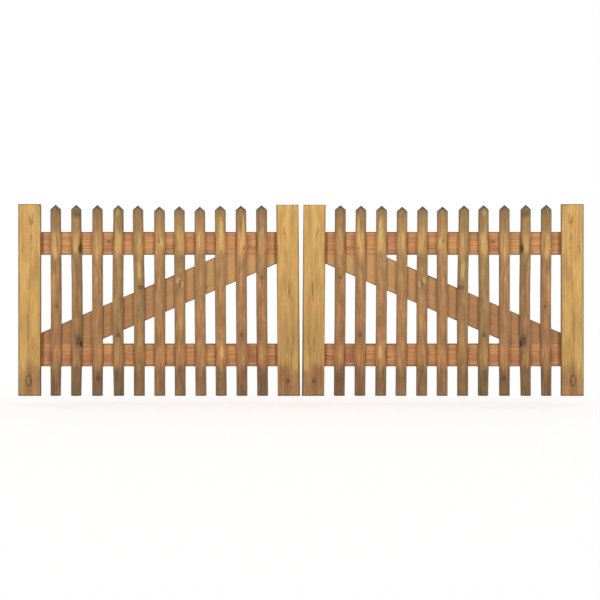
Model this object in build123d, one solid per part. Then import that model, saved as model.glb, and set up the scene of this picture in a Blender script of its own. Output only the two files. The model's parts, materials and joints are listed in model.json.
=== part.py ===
from build123d import *

import math
import os

# Double wooden picket gate: two braced leaves of half-round pickets, hung on four pintle plates.
# Millimetres. +X runs along the gate, +Y into the property and +Z up. The origin is the middle of the
# left lower pintle plate, on the face that bolts to the gate post. The left leaf is modelled in full
# and the right leaf is its mirror image about the middle of the gate.

# Leaf: its outline, and the gap between the two leaves
leaf_width = 1465
leaf_height = 1000
meeting_gap = 18

# Boards: two stiles on the front of two rails, and a brace between the rails
stile_width = 117
stile_thickness = 28
rail_width = 119
rail_thickness = 28
bottom_rail_height = 153    # underside of the bottom rail above the foot of the leaf
top_rail_height = 737       # underside of the top rail above the foot of the leaf
rail_inset = 12             # rails stop this far short of the meeting edge
brace_width = 158
brace_toe = 381             # outer edge of the leaf to where the brace leaves the bottom rail
board_edge_radius = 3

# Pickets: half-round, flat backs on the rails, sawn to a point that also leans to the front
picket_count = 11
picket_width = 58
picket_depth = 27
picket_length = 995
point_height = 25           # tip above the shoulders
point_fall = 15             # fall of the ridge from the flat back to the round front

# Hinges: a strap with a rolled eye on each rail, and a pintle that bolts to the post
pin_radius = 8
pin_length = 48             # above the arm
pin_chamfer = 2
pin_play = 0.3              # between the pin and the eye, all round
eye_lift = 0.3              # between the eye and the arm that carries it
roll_seam = 1.2             # between the end of the rolled eye and the bar
strap_thickness = 5
strap_width = 40
strap_length = 480          # from the pin to the tip
strap_hole_radius = 4
strap_hole_count = 5
strap_hole_margin = 45      # from the pin, and from the tip, to the nearest hole
plate_thickness = 5
plate_width = 40
plate_height = 120
plate_corner_radius = 6
plate_hole_radius = 5.5
plate_hole_spacing = 92
arm_height = 12
weld_leg = 3                # fillet weld all round the arm, on the plate

# Clearances at the hanging edge
post_lap = 45               # outer stile laps the face of the post
rail_to_plate = 5
eye_to_plate = 5.75

# Levels across the gate: the pin stands at y = 0, behind the rails
eye_radius = pin_radius + pin_play
eye_outer_radius = eye_radius + strap_thickness
rail_back = -eye_outer_radius
rail_front = rail_back - rail_thickness
pin_x = plate_thickness + eye_to_plate + eye_outer_radius

# Levels along the gate: the plate's bolted face is at x = 0
leaf_start = -post_lap
leaf_end = leaf_start + leaf_width
rail_start = plate_thickness + rail_to_plate
rail_end = leaf_end - rail_inset
gate_middle = leaf_end + meeting_gap / 2

# Heights: the lower strap runs along the middle of the bottom rail, at z = 0
leaf_foot = -(bottom_rail_height + rail_width / 2)
bottom_rail_foot = leaf_foot + bottom_rail_height
top_rail_foot = leaf_foot + top_rail_height
strap_levels = {"lower": bottom_rail_foot + rail_width / 2, "upper": top_rail_foot + rail_width / 2}

FROM_CORNER = (Align.MIN, Align.MIN, Align.MIN)


def board(length, thickness, width, long_axis):
    """A planed board from its lowest corner, its long edges eased."""
    blank = Box(length, thickness, width, align=FROM_CORNER)
    return fillet(blank.edges().filter_by(long_axis), board_edge_radius)


def stile(outer_x):
    """An upright end board, on the front of the rails."""
    upright = board(stile_width, stile_thickness, leaf_height, Axis.Z)
    return Pos(outer_x, rail_front - stile_thickness, leaf_foot) * upright


def rail(foot):
    """A horizontal board behind the pickets."""
    return Pos(rail_start, rail_front, foot) * board(rail_end - rail_start, rail_thickness, rail_width, Axis.X)


def brace():
    """A raking board, its ends sawn to fit between the rails and level with their outer ends."""
    bay_foot = bottom_rail_foot + rail_width
    bay_height = top_rail_foot - bay_foot
    toe_x = leaf_start + brace_toe
    rake = math.atan2(bay_height, rail_end - toe_x)
    overrun = leaf_width
    plank = board(leaf_width + 2 * overrun, rail_thickness, brace_width, Axis.X)
    raked = Location((toe_x, rail_front, bay_foot), (0, -math.degrees(rake), 0)) * Pos(-overrun, 0, 0) * plank
    bay = Box(rail_end - rail_start, rail_thickness, bay_height, align=FROM_CORNER)
    return raked & Pos(rail_start, rail_front, bay_foot) * bay


def picket_blank():
    """A half-round bar with its flat back at y = 0, sawn to a point by two leaning cuts."""
    half = picket_width / 2
    flat = Line((half, 0), (-half, 0))
    crown = ThreePointArc((-half, 0), (0, -picket_depth), (half, 0))
    bar = extrude(make_face([flat, crown]), picket_length)
    tip = Vector(0, 0, picket_length)
    ridge = Vector(0, -picket_depth, -point_fall)
    for side in (-1, 1):
        slope = Vector(side * half, 0, -point_height)
        upward = ridge.cross(slope) * side
        bar = split(bar, bisect_by=Plane(origin=tip, x_dir=slope, z_dir=upward), keep=Keep.BOTTOM)
    return bar


def picket_places():
    """Centres of the pickets: equal gaps between the pickets and beside the stiles."""
    room = leaf_width - 2 * stile_width - picket_count * picket_width
    gap = room / (picket_count + 1)
    first = leaf_start + stile_width + gap + picket_width / 2
    return [first + i * (picket_width + gap) for i in range(picket_count)]


def strap(level):
    """A flat bar along the back of a rail, rolled into an eye round the pin and drilled for its screws."""
    bar = Pos(0, -eye_outer_radius, 0) * Box(strap_length, strap_thickness, strap_width, align=FROM_CORNER)
    tip_edges = bar.edges().filter_by(Axis.Y).group_by(Axis.X)[-1]
    bar = fillet(tip_edges, strap_width / 2 - 1)
    eye = extrude(Circle(eye_outer_radius), strap_width)
    bore = extrude(Circle(eye_radius), strap_width)
    seam = Pos(0, -eye_radius, 0) * Box(eye_outer_radius, roll_seam, strap_width, align=FROM_CORNER)
    shape = bar + eye - bore - seam
    pitch = (strap_length - 2 * strap_hole_margin) / (strap_hole_count - 1)
    for i in range(strap_hole_count):
        x = strap_hole_margin + i * pitch
        drill = Cylinder(strap_hole_radius, 4 * strap_thickness, rotation=(90, 0, 0))
        shape -= Pos(x, strap_thickness / 2 - eye_outer_radius, strap_width / 2) * drill
    return Pos(pin_x, 0, level - strap_width / 2) * shape


def pintle(level):
    """A drilled plate with an arm welded on that carries an upright pin."""
    plate = extrude(Plane.YZ * RectangleRounded(plate_width, plate_height, plate_corner_radius), plate_thickness)
    for side in (-1, 1):
        drill = Cylinder(plate_hole_radius, 4 * plate_thickness, rotation=(0, 90, 0))
        plate -= Pos(plate_thickness / 2, 0, side * plate_hole_spacing / 2) * drill
    arm_top = -strap_width / 2 - eye_lift
    reach = Box(pin_x, 2 * pin_radius, arm_height, align=(Align.MIN, Align.CENTER, Align.MAX))
    post = Pos(pin_x, 0, -arm_height) * extrude(Circle(pin_radius), arm_height + pin_length)
    post = chamfer(post.edges().group_by(Axis.Z)[-1], pin_chamfer)
    plate += Pos(0, 0, arm_top) * reach
    seat = plate.edges().filter_by_position(Axis.X, plate_thickness, plate_thickness)
    seat = seat.filter_by_position(Axis.Z, arm_top - arm_height, arm_top).filter_by(GeomType.LINE)
    seat = seat.filter_by_position(Axis.Y, -pin_radius, pin_radius)
    plate = chamfer(seat, weld_leg)
    return Pos(0, 0, level) * (plate + Pos(0, 0, arm_top) * post)


def left_leaf():
    """Every piece of the left leaf by name."""
    pieces = {
        "hanging_stile": stile(leaf_start),
        "meeting_stile": stile(leaf_end - stile_width),
        "bottom_rail": rail(bottom_rail_foot),
        "top_rail": rail(top_rail_foot),
        "brace": brace(),
    }
    blank = picket_blank()
    for number, x in enumerate(picket_places(), start=1):
        pieces[f"picket_{number:02d}"] = Pos(x, rail_front, leaf_foot) * blank
    for name, level in strap_levels.items():
        pieces[f"{name}_strap"] = strap(level)
    return pieces


def left_pintles():
    """The two pintles of the left post by name."""
    return {f"{name}_pintle": pintle(level) for name, level in strap_levels.items()}


def main():
    """Writes every piece of both sides to its own file."""
    os.makedirs("parts", exist_ok=True)
    middle = Plane(origin=(gate_middle, 0, 0), z_dir=(1, 0, 0))
    for name, piece in {**left_leaf(), **left_pintles()}.items():
        export_step(piece, f"parts/left_{name}.step")
        export_step(mirror(piece, about=middle), f"parts/right_{name}.step")


if __name__ == "__main__":
    main()
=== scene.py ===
# %% [markdown]
# # A double picket gate, dressed over its solids
# The solids say where every board, picket and hinge sits. This lesson puts real timber over them: boards
# with eased arrises, half-round pickets that are not quite straight, knots, growth rings, weather and the
# screws that hold it all together.

# %% Load the frame
import json
import math

import bmesh
import bpy
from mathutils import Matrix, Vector


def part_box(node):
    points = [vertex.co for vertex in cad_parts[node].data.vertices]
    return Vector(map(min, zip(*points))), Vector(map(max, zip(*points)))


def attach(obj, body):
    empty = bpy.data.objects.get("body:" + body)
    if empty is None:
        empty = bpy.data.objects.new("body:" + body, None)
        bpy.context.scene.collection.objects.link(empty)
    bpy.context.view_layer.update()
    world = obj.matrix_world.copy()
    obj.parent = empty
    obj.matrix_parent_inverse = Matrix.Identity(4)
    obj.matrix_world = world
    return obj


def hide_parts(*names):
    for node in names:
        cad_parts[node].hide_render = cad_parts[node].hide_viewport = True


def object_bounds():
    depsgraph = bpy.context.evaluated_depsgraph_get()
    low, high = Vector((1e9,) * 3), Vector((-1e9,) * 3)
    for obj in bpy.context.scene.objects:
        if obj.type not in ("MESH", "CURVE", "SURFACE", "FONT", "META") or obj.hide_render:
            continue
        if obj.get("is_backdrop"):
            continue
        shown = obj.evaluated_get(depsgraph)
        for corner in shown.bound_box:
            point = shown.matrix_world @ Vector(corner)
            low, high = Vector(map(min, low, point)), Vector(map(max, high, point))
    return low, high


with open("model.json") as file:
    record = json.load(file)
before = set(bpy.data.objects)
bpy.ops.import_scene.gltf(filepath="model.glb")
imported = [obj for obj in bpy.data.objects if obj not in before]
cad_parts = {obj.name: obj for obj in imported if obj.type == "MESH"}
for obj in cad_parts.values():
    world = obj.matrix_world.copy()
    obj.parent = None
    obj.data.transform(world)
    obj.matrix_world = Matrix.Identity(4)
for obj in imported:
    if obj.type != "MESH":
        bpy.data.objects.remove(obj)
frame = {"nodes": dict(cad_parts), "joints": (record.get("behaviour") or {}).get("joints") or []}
cad_low, cad_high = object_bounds()
print("solids", [round(v * 1000) for v in cad_high - cad_low], "mm,", len(frame["nodes"]), "nodes")

# %% [markdown]
# ## Where things are
# Both leaves are mirror images, so every place is read from the left leaf and the middle of the gate.
# The photograph shows the same: knots and stains on the right are those on the left, turned round.

# %% Read the places of the left leaf
middle = (cad_low.x + cad_high.x) / 2
outer_edge = cad_low.x
foot = cad_low.z
stile_low, stile_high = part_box("left_hanging_stile")
meeting_low, meeting_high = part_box("left_meeting_stile")
bottom_low, bottom_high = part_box("left_bottom_rail")
top_low, top_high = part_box("left_top_rail")
rail_back = top_high.y
rail_front = top_low.y
leaf_width = meeting_high.x - outer_edge
rail_middles = [(bottom_low.z + bottom_high.z) / 2, (top_low.z + top_high.z) / 2]
picket_count = 11
picket_boxes = [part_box(f"left_picket_{n + 1:02d}") for n in range(picket_count)]
picket_centres = [(low.x + high.x) / 2 for low, high in picket_boxes]
print("middle of the gate at x =", round(middle, 4), "and", len(picket_centres), "pickets a leaf")

# %% [markdown]
# ## Camera
# The photograph looks square at the gate from about the middle of its height. A level camera with a long
# lens at eight metres keeps upright edges upright. Its focal length follows from how much of the
# picture the gate fills.

# %% Camera
scene = bpy.context.scene
photo_side = 600
gate_pixels = 565.7
camera_reach = 8.0
aim_left = 0.005
sensor = 36.0
view_width = (cad_high.x - cad_low.x) * photo_side / gate_pixels
camera_data = bpy.data.cameras.new("camera")
camera_data.sensor_width = sensor
camera_data.lens = sensor * camera_reach / view_width
camera = bpy.data.objects.new("camera", camera_data)
scene.collection.objects.link(camera)
scene.camera = camera
target = Vector((middle - aim_left, cad_low.y, (cad_low.z + cad_high.z) / 2))
camera.location = target - Vector((0, camera_reach, 0))
camera.rotation_euler = (math.pi / 2, 0, 0)
print("lens", round(camera_data.lens, 1), "mm")

# %% [markdown]
# ## Studio
# The picture is a cut-out on white. A pale floor lies a hand's breadth under the leaves and a white
# surround fills the shadows. To the camera both are nearly paper white, while the light that they give is
# weaker, so that shapes keep their shade. The Standard view transform keeps colours as they are painted.

# %% Floor and surround
scene.view_settings.view_transform = "Standard"
floor_drop = 0.05
floor_side = 60
floor_glow = 0.60
fill_strength = 0.46
bpy.ops.object.select_all(action="DESELECT")
bpy.ops.mesh.primitive_plane_add(size=floor_side, location=(middle, 0, foot - floor_drop))
floor = bpy.context.object
floor.name = "floor"
floor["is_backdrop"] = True
floor_paint = bpy.data.materials.new("floor_paint")
floor_paint.use_nodes = True
floor_nodes = floor_paint.node_tree
floor_shader = floor_nodes.nodes["Principled BSDF"].inputs
floor_shader["Base Color"].default_value = (0.86, 0.86, 0.86, 1)
floor_shader["Roughness"].default_value = 0.9
floor_shader["Emission Color"].default_value = (1, 1, 1, 1)
glow = floor_nodes.nodes.new("ShaderNodeMath")
glow.operation = "MULTIPLY"
glow.inputs[1].default_value = floor_glow
floor_path = floor_nodes.nodes.new("ShaderNodeLightPath")
floor_nodes.links.new(floor_path.outputs["Is Camera Ray"], glow.inputs[0])
floor_nodes.links.new(glow.outputs[0], floor_shader["Emission Strength"])
floor.data.materials.append(floor_paint)

surround = bpy.data.worlds.new("surround")
scene.world = surround
surround.use_nodes = True
sky = surround.node_tree
fill = sky.nodes["Background"]
fill.inputs["Color"].default_value = (1, 1, 1, 1)
fill.inputs["Strength"].default_value = fill_strength
seen = sky.nodes.new("ShaderNodeBackground")
seen.inputs["Color"].default_value = (1, 1, 1, 1)
which = sky.nodes.new("ShaderNodeMixShader")
path = sky.nodes.new("ShaderNodeLightPath")
sky.links.new(path.outputs["Is Camera Ray"], which.inputs[0])
sky.links.new(fill.outputs[0], which.inputs[1])
sky.links.new(seen.outputs[0], which.inputs[2])
sky.links.new(which.outputs[0], sky.nodes["World Output"].inputs["Surface"])
print("floor", round(floor_drop * 1000), "mm under the leaves")

# %% [markdown]
# ## Lamps
# The photograph shows one leaf turned over to make a pair. That leaf stood between two lamps: its outer
# pickets throw a narrow shadow towards the middle of the leaf, and so do the inner ones from the other
# side. So each leaf has two square lamps, half-way to its sides in front of it. Later they are linked
# to their own leaf, as a studio keeps a lamp off its neighbour with a screen. A wide lamp behind
# lights the back.

# %% Lamps
lamp_spread = 1.5
lamp_reach = 1.8
lamp_lift = 0.55
lamp_size = 0.45
lamp_power = 25.5
back_lamp_reach = 4.5
back_lamp_height = 3.0
back_aim_height = 0.2
back_lamp_size = 3.0
back_lamp_power = 150


def square_lamp(name, place, aim, size, power):
    """A square lamp at a place, turned to a point. It isn't seen itself."""
    light = bpy.data.lights.new(name, "AREA")
    light.size = size
    light.energy = power
    holder = bpy.data.objects.new(name, light)
    holder.visible_camera = False
    scene.collection.objects.link(holder)
    holder.location = place
    holder.rotation_euler = (Vector(aim) - Vector(place)).to_track_quat("-Z", "Y").to_euler()
    return holder


leaf_middle = (cad_low.z + cad_high.z) / 2
leaf_centres = {"left": outer_edge + leaf_width / 2, "right": 2 * middle - outer_edge - leaf_width / 2}
leaf_lamps = {leaf: [] for leaf in leaf_centres}
for leaf, centre in leaf_centres.items():
    aim = (centre, rail_front, leaf_middle)
    for side in (-1, 1):
        lamp_place = (centre + side * lamp_spread, rail_front - lamp_reach, leaf_middle + lamp_lift)
        side_name = "left" if side < 0 else "right"
        lamp_name = f"{leaf}_leaf_{side_name}_lamp"
        leaf_lamps[leaf].append(square_lamp(lamp_name, lamp_place, aim, lamp_size, lamp_power))
back_place = (middle, back_lamp_reach, back_lamp_height)
back_aim = (middle, 0, back_aim_height)
back_lamp = square_lamp("back_lamp", back_place, back_aim, back_lamp_size, back_lamp_power)
print({leaf: len(lamps) for leaf, lamps in leaf_lamps.items()}, "lamps and one behind")

# %% [markdown]
# ## Working in edit mode
# Operators act on whatever is selected. Two helpers keep that safe: one makes a single object active,
# the other selects only the points, edges or faces that pass a test on their place or direction. The
# others are short names for steps that come back in every piece.

# %% Selection helpers


def take(piece):
    """Makes one object the only selected one, and the active one."""
    bpy.ops.object.select_all(action="DESELECT")
    piece.select_set(True)
    bpy.context.view_layer.objects.active = piece


def pick(piece, kind, test):
    """In edit mode, selects the VERT, EDGE or FACE elements that pass a test, and says how many."""
    bpy.ops.mesh.select_mode(type=kind)
    bpy.ops.mesh.select_all(action="DESELECT")
    shape = bmesh.from_edit_mesh(piece.data)
    elements = {"VERT": shape.verts, "EDGE": shape.edges, "FACE": shape.faces}[kind]
    count = 0
    for element in elements:
        if test(element):
            element.select_set(True)
            count += 1
    bmesh.update_edit_mesh(piece.data)
    return count


def edit():
    """Goes into edit mode on the active object."""
    bpy.ops.object.mode_set(mode="EDIT")


def done():
    """Leaves edit mode."""
    bpy.ops.object.mode_set(mode="OBJECT")


def everything():
    """In edit mode, selects the whole mesh."""
    bpy.ops.mesh.select_all(action="SELECT")


def settle():
    """Makes the active object's place, turn and scale part of its mesh."""
    bpy.ops.object.transform_apply(location=True, rotation=True, scale=True)


def own_copy(piece, name):
    """A copy of a piece with a mesh of its own."""
    copy = piece.copy()
    copy.data = piece.data.copy()
    copy.name = name
    scene.collection.objects.link(copy)
    return copy


def runs_along(axis):
    """A test for edges that run along axis 0, 1 or 2."""
    def test(edge):
        run = edge.verts[1].co - edge.verts[0].co
        return abs(run[axis]) > 0.98 * run.length
    return test


def apply_modifiers(piece):
    """Makes a piece's modifiers part of its mesh."""
    take(piece)
    for modifier in list(piece.modifiers):
        bpy.ops.object.modifier_apply(modifier=modifier.name)


# %% [markdown]
# ## Planed boards
# Stiles and rails are planed boards: a block at its size, its long arrises rounded over, its sawn ends
# broken only a little. Cuts along and across the face give the mesh enough points for the shallow
# hollows that planing leaves in soft wood, which come later.

# %% Planed boards
arris_round = 0.003
end_break = 0.001
cut_spacing = 0.012
crease = math.radians(35)


def planed_board(name, low, high, along, across):
    """A board between two corners, with its grain along one axis and its face across another."""
    size = high - low
    bpy.ops.object.select_all(action="DESELECT")
    bpy.ops.mesh.primitive_cube_add(size=1, location=(low + high) / 2, scale=size)
    board = bpy.context.object
    board.name = name
    settle()
    edit()
    pick(board, "EDGE", runs_along(along))
    bpy.ops.mesh.bevel(offset=arris_round, segments=3, affect="EDGES")
    pick(board, "EDGE", runs_along(along))
    bpy.ops.mesh.subdivide(number_cuts=round(size[along] / cut_spacing))
    pick(board, "EDGE", lambda e: runs_along(across)(e) and e.calc_length() > size[across] / 2)
    bpy.ops.mesh.subdivide(number_cuts=round(size[across] / cut_spacing))
    for end in (low[along], high[along]):
        pick(board, "FACE", lambda f: abs(f.calc_center_median()[along] - end) < 1e-5)
        bpy.ops.mesh.region_to_loop()
        bpy.ops.mesh.bevel(offset=end_break, segments=2, affect="EDGES")
    done()
    return board


UPRIGHT, LENGTHWAYS = 2, 0
timber = {}
for node in ("hanging_stile", "meeting_stile"):
    timber[node] = planed_board(f"left_{node}_timber", *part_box(f"left_{node}"), UPRIGHT, LENGTHWAYS)
for node in ("top_rail", "bottom_rail"):
    timber[node] = planed_board(f"left_{node}_timber", *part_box(f"left_{node}"), LENGTHWAYS, UPRIGHT)
print({name: len(board.data.polygons) for name, board in timber.items()})

# %% [markdown]
# In the photograph the gap between the leaves is wider at the top than at the foot. So the meeting stile
# leans: its foot is moved towards the middle and its top away. Proportional editing moves the chosen
# points in full and the others less with their distance. The top is also sawn a little lower.

# %% The meeting stile leans


def drag(shift, falloff, reach):
    """Moves the selection in full, and what lies within reach of it less."""
    bpy.ops.transform.translate(value=shift, use_proportional_edit=True, proportional_edit_falloff=falloff,
                                proportional_size=reach)


stile_sawn_lower = 0.0030
stile_foot_shift = 0.0046
stile_lean = -0.0077
stile_length = meeting_high.z - foot
sawn_end = 0.005
take(timber["meeting_stile"])
edit()
everything()
bpy.ops.transform.translate(value=(stile_foot_shift, 0, 0))
pick(timber["meeting_stile"], "VERT", lambda v: v.co.z > meeting_high.z - sawn_end)
bpy.ops.transform.translate(value=(0, 0, -stile_sawn_lower))
drag((stile_lean, 0, 0), "LINEAR", stile_length)
done()
print("gap", round((middle - meeting_high.x - stile_foot_shift) * 2000, 1), "mm at the foot")

# %% [markdown]
# ## The brace
# The brace is a wider board. It is planed level, turned to its rake about the toe, and sawn off along the
# rails with four bisects, which is how a joiner scribes it in place.

# %% The brace
brace_width = 0.158
brace_toe = outer_edge + 0.381
brace_run = 1.2
overrun = 0.5
toe = Vector((brace_toe, rail_front, bottom_high.z))
rake = math.atan2(top_low.z - bottom_high.z, top_high.x - brace_toe)
plank_low = toe - Vector((overrun, 0, 0))
plank_high = toe + Vector((brace_run + overrun, rail_back - rail_front, brace_width))
brace = planed_board("left_brace_timber", plank_low, plank_high, LENGTHWAYS, UPRIGHT)
edit()
everything()
bpy.ops.transform.rotate(value=rake, orient_axis="Y", center_override=toe)
saw_lines = [
    (bottom_high, (0, 0, -1)),
    (top_low, (0, 0, 1)),
    (top_low, (-1, 0, 0)),
    (top_high, (1, 0, 0)),
]
for place, outward in saw_lines:
    everything()
    bpy.ops.mesh.bisect(plane_co=place, plane_no=outward, use_fill=True, clear_outer=True)
done()
timber["brace"] = brace
print("brace rakes", round(math.degrees(rake), 1), "degrees,", [round(v, 3) for v in brace.dimensions])

# %% [markdown]
# ## Pickets
# A picket is half a milled pole. A cylinder is halved with one bisect, given cuts along its length, and
# sawn to a point with two more bisects that lean to the sides and to the front, so that the end grain
# shows from the road. A Bevel modifier takes the sharpness off the saw cuts.

# %% One picket
point_height = 0.025
point_fall = 0.015
pole_sides = 40
picket_cuts = 90
saw_break = 0.0012
first_low, first_high = picket_boxes[0]
half_width = (first_high.x - first_low.x) / 2
depth = first_high.y - first_low.y
bpy.ops.object.select_all(action="DESELECT")
bpy.ops.mesh.primitive_cylinder_add(
    vertices=pole_sides, radius=half_width, depth=first_high.z - first_low.z,
    location=(picket_centres[0], first_high.y, (first_low.z + first_high.z) / 2))
blank = bpy.context.object
blank.name = "picket_blank"
settle()
edit()
everything()
bpy.ops.mesh.bisect(plane_co=first_high, plane_no=(0, 1, 0), use_fill=True, clear_outer=True)
everything()
bpy.ops.transform.resize(value=(1, depth / half_width, 1), center_override=first_high)
pick(blank, "EDGE", runs_along(UPRIGHT))
bpy.ops.mesh.subdivide(number_cuts=picket_cuts)
tip = Vector((picket_centres[0], first_high.y, first_high.z))
ridge = Vector((0, -depth, -point_fall))
for side in (-1, 1):
    slope = Vector((side * half_width, 0, -point_height))
    upward = (ridge.cross(slope) * side).normalized()
    everything()
    bpy.ops.mesh.bisect(plane_co=tip, plane_no=upward, use_fill=True, clear_outer=True)
done()
ease = blank.modifiers.new("saw_cuts", "BEVEL")
ease.width = saw_break
ease.segments = 2
ease.limit_method = "ANGLE"
ease.angle_limit = crease
apply_modifiers(blank)
print("one picket", [round(v * 1000) for v in blank.dimensions], "mm,", len(blank.data.polygons), "faces")

# %% [markdown]
# Eleven copies stand along the rails, each with its own mesh. They are moved in edit mode, so that every
# object stays at the origin as the solids do. Pickets are set out and sawn by eye, so each copy stands
# a few millimetres off its mark and its point is a little higher or lower than the next. Poles also
# taper, lean and bow as they dry. Proportional editing does that again, evenly for a lean and smoothly
# for a bow.

# %% Eleven pickets
off_mark = [-0.0035, -0.0035, 0.0, 0.0045, 0.004, 0.0035, 0.003, 0.004, 0.0025, 0.0035, 0.004]
leans = [0.0, 0.0, 0.0, -0.0025, -0.007, -0.0015, -0.0045, -0.006, -0.005, -0.0055, -0.0055]
bows = [0.003, 0.005, 0.0, -0.004, 0.004, 0.001, 0.0005, -0.002, -0.0015, 0.0, -0.0015]
point_widths = [0.97, 0.93, 0.95, 0.95, 0.96, 0.99, 0.97, 0.97, 1.0, 0.97, 1.0]
foot_widths = [0.94, 0.94, 0.97, 0.95, 1.0, 1.0, 1.0, 1.0, 1.0, 0.99, 0.99]
taper_reach = 0.20
foot_end = 0.003
point_lifts = [0.0045, 0.0045, 0.0035, 0.0025, 0.001, -0.005, -0.003, -0.006, -0.0005, 0.0, 0.002]
point_start = first_high.z - 2.5 * point_height
half_way = (foot + point_start) / 2
crown_turns = [(v.co.x - picket_centres[0]) / half_width for v in blank.data.vertices]


def narrow(width, centre, reach):
    """Makes the selection narrower about a centre, and what lies within reach of it less so."""
    bpy.ops.transform.resize(value=(width, 1, 1), center_override=centre, use_proportional_edit=True,
                             proportional_edit_falloff="SMOOTH", proportional_size=reach)


for index, shift in enumerate(off_mark):
    copy = own_copy(blank, f"left_picket_{index + 1:02d}_timber")
    take(copy)
    stand = picket_centres[index] + shift
    edit()
    everything()
    bpy.ops.transform.translate(value=(stand - picket_centres[0], 0, 0))
    pick(copy, "VERT", lambda v: v.co.z < foot + foot_end)
    narrow(foot_widths[index], (stand, rail_front, foot), taper_reach)
    pick(copy, "VERT", lambda v: v.co.z > point_start)
    bpy.ops.transform.translate(value=(0, 0, point_lifts[index]))
    narrow(point_widths[index], (stand, rail_front, point_start), taper_reach)
    drag((leans[index], 0, 0), "LINEAR", point_start - foot)
    pick(copy, "VERT", lambda v: abs(v.co.z - half_way) < cut_spacing)
    drag((bows[index], 0, 0), "SMOOTH", half_way - foot)
    done()
    timber[f"picket_{index + 1:02d}"] = copy
bpy.data.objects.remove(blank)
print(len(timber), "pieces of timber on the left leaf")

# %% [markdown]
# ## No surface is quite flat
# A Displace modifier with a fine cloud makes the round front of the pickets uneven and planes shallow
# hollows into the flats of the boards. Boards may only lose wood, never grow past the solid, so their
# clouds push inwards. Their edges stay straight, so that no daylight shows where the brace bears on a rail.

# %% Hollows
fine_cloud = bpy.data.textures.new("fine_cloud", "CLOUDS")
fine_cloud.noise_scale = 0.06
fine_cloud.noise_depth = 2
worn_foot = foot + 0.01
worn_length = 0.94
back_margin = 0.002
edge_margin = 0.004
picket_wear = 0.0018
board_wear = 0.0010


def wear(piece, points, strength, level):
    """Moves some points of a piece along their normals by the fine cloud."""
    piece.vertex_groups.new(name="worn").add(points, 1.0, "REPLACE")
    modifier = piece.modifiers.new("hollows", "DISPLACE")
    modifier.texture = fine_cloud
    modifier.texture_coords = "LOCAL"
    modifier.direction = "NORMAL"
    modifier.strength = strength
    modifier.mid_level = level
    modifier.vertex_group = "worn"


for name, piece in timber.items():
    if name.startswith("picket"):
        round_side = [v.index for v in piece.data.vertices
                      if v.co.y < rail_front - back_margin and worn_foot < v.co.z < worn_foot + worn_length]
        wear(piece, round_side, picket_wear, 0.55)
    else:
        low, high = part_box(f"left_{name}")
        on_flat = [v.index for v in piece.data.vertices
                   if min(v.co.y - low.y, high.y - v.co.y) < 0.0001
                   and min(v.co.z - low.z, high.z - v.co.z) > edge_margin]
        wear(piece, on_flat, board_wear, 1.0)
    apply_modifiers(piece)
    piece.vertex_groups.clear()
    take(piece)
    bpy.ops.object.shade_smooth_by_angle(angle=crease)
print("worn", len(timber), "pieces")

# %% [markdown]
# ## Screws
# No fixing shows on the front, so the leaf is screwed from behind, through rails and brace. One
# countersunk head is turned from a short cylinder: the rim is eased with a bevel, the face inset, every
# third point of the inset drawn in to make six lobes, and the recess pushed in. The head stands a
# hair proud of the board.

# %% One countersunk screw
head_radius = 0.0046
head_proud = 0.0006
head_depth = 0.003
rim_ease = 0.0004
recess_inset = 0.0019
recess_depth = 0.0014
lobe_draw = 0.7
face_y = rail_back + head_proud
bpy.ops.object.select_all(action="DESELECT")
bpy.ops.mesh.primitive_cylinder_add(vertices=18, radius=head_radius, depth=head_depth,
                                    rotation=(math.pi / 2, 0, 0), location=(0, face_y - head_depth / 2, 0))
screw = bpy.context.object
settle()
edit()
pick(screw, "EDGE", lambda e: all(abs(v.co.y - face_y) < 1e-5 for v in e.verts))
bpy.ops.mesh.bevel(offset=rim_ease, segments=2, affect="EDGES")
pick(screw, "FACE", lambda f: f.normal.y > 0.99)
bpy.ops.mesh.inset(thickness=recess_inset, depth=0)
inner = min(v.co.xz.length for v in bmesh.from_edit_mesh(screw.data).verts) + 1e-5
lobe = math.radians(60)


def between_lobes(vert):
    """True for every third point of the inset ring."""
    turn = math.atan2(vert.co.z, vert.co.x) / lobe
    return vert.co.xz.length < inner and abs(turn - round(turn)) < 0.1


pick(screw, "VERT", between_lobes)
bpy.ops.transform.resize(value=(lobe_draw, 1, lobe_draw), center_override=(0, face_y, 0))
pick(screw, "FACE", lambda f: f.normal.y > 0.99 and f.calc_center_median().xz.length < 1e-4)
bpy.ops.mesh.extrude_region_move(TRANSFORM_OT_translate={"value": (0, -recess_depth, 0)})
done()
print("screw head", [round(v * 1000, 1) for v in screw.dimensions], "mm,", len(screw.data.polygons), "faces")

# %% [markdown]
# The straps are held by coach screws. A washer is a flat cylinder with eased edges, and the head is a
# cylinder of six sides whose outer corners are turned off.

# %% One coach screw
strap_thickness = 0.005
washer_radius = 0.009
washer_thickness = 0.0016
hex_radius = 0.0075
hex_height = 0.0053
hex_ease = 0.0009
strap_back = rail_back + strap_thickness


def turned_block(sides, radius, height, start, ease):
    """A prism that stands on the plane y = start and points to +Y, with its outer edge eased."""
    bpy.ops.object.select_all(action="DESELECT")
    bpy.ops.mesh.primitive_cylinder_add(vertices=sides, radius=radius, depth=height,
                                        rotation=(math.pi / 2, 0, 0), location=(0, start + height / 2, 0))
    block = bpy.context.object
    settle()
    edit()
    pick(block, "EDGE", lambda e: all(abs(v.co.y - start - height) < 1e-5 for v in e.verts))
    bpy.ops.mesh.bevel(offset=ease, segments=2, affect="EDGES")
    done()
    return block


washer = turned_block(24, washer_radius, washer_thickness, strap_back, rim_ease)
coach_screw = turned_block(6, hex_radius, hex_height, strap_back + washer_thickness, hex_ease)
washer.select_set(True)
bpy.context.view_layer.objects.active = coach_screw
bpy.ops.object.join()
print("coach screw", [round(v * 1000, 1) for v in coach_screw.dimensions], "mm")

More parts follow.
